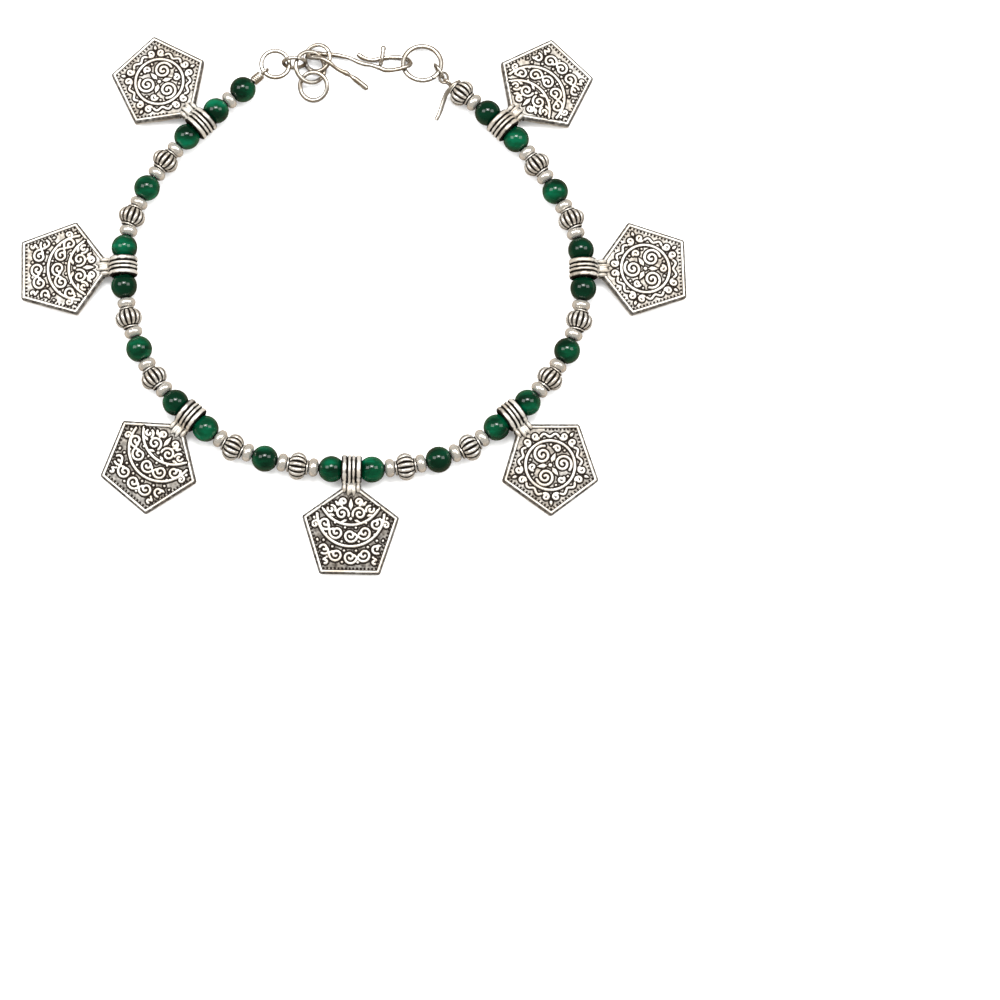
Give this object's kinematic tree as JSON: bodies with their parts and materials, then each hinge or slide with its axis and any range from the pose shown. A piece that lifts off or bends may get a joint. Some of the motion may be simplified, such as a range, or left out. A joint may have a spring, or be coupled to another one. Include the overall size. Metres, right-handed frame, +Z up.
{
  "type": "payal anklet",
  "caption": "Closed anklet of polished green stone, ribbed melon and small silver beads with pentagonal silver pendants, fastened by a wire hook between two ring chains.",
  "frame": {"origin": "on the surface that the anklet lies on, under the middle of its box", "axes": "+Z up from the surface, +X along the anklet's longest side, +Y towards the clasp"},
  "size_m": [0.1336, 0.111, 0.0058],
  "materials": {
    "silver": "oxidised silver, satin with dark recesses",
    "green_stone": "polished"
  },
  "bodies": {
    "root": {"bead_string": "silver", "centre_ring": "silver", "end_ring": "silver", "green_bead_01": "green_stone", "green_bead_02": "green_stone", "green_bead_03": "green_stone", "green_bead_04": "green_stone", "green_bead_05": "green_stone", "green_bead_06": "green_stone", "green_bead_07": "green_stone", "green_bead_08": "green_stone", "green_bead_09": "green_stone", "green_bead_10": "green_stone", "green_bead_11": "green_stone", "green_bead_12": "green_stone", "green_bead_13": "green_stone", "green_bead_14": "green_stone", "green_bead_15": "green_stone", "green_bead_16": "green_stone", "green_bead_17": "green_stone", "green_bead_18": "green_stone", "green_bead_19": "green_stone", "green_bead_20": "green_stone", "green_bead_21": "green_stone", "hook_ring": "silver", "large_ring": "silver", "melon_bead_01": "silver", "melon_bead_02": "silver", "melon_bead_03": "silver", "melon_bead_04": "silver", "melon_bead_05": "silver", "melon_bead_06": "silver", "melon_bead_07": "silver", "melon_bead_08": "silver", "melon_bead_09": "silver", "melon_bead_10": "silver", "melon_bead_11": "silver", "melon_bead_12": "silver", "melon_bead_13": "silver", "oval_link": "silver", "pendant_1": "silver", "pendant_2": "silver", "pendant_3": "silver", "pendant_4": "silver", "pendant_5": "silver", "pendant_6": "silver", "pendant_7": "silver", "s_hook": "silver", "small_link": "silver", "spare_ring": "silver", "upright_link": "silver"}
  },
  "joints": []
}
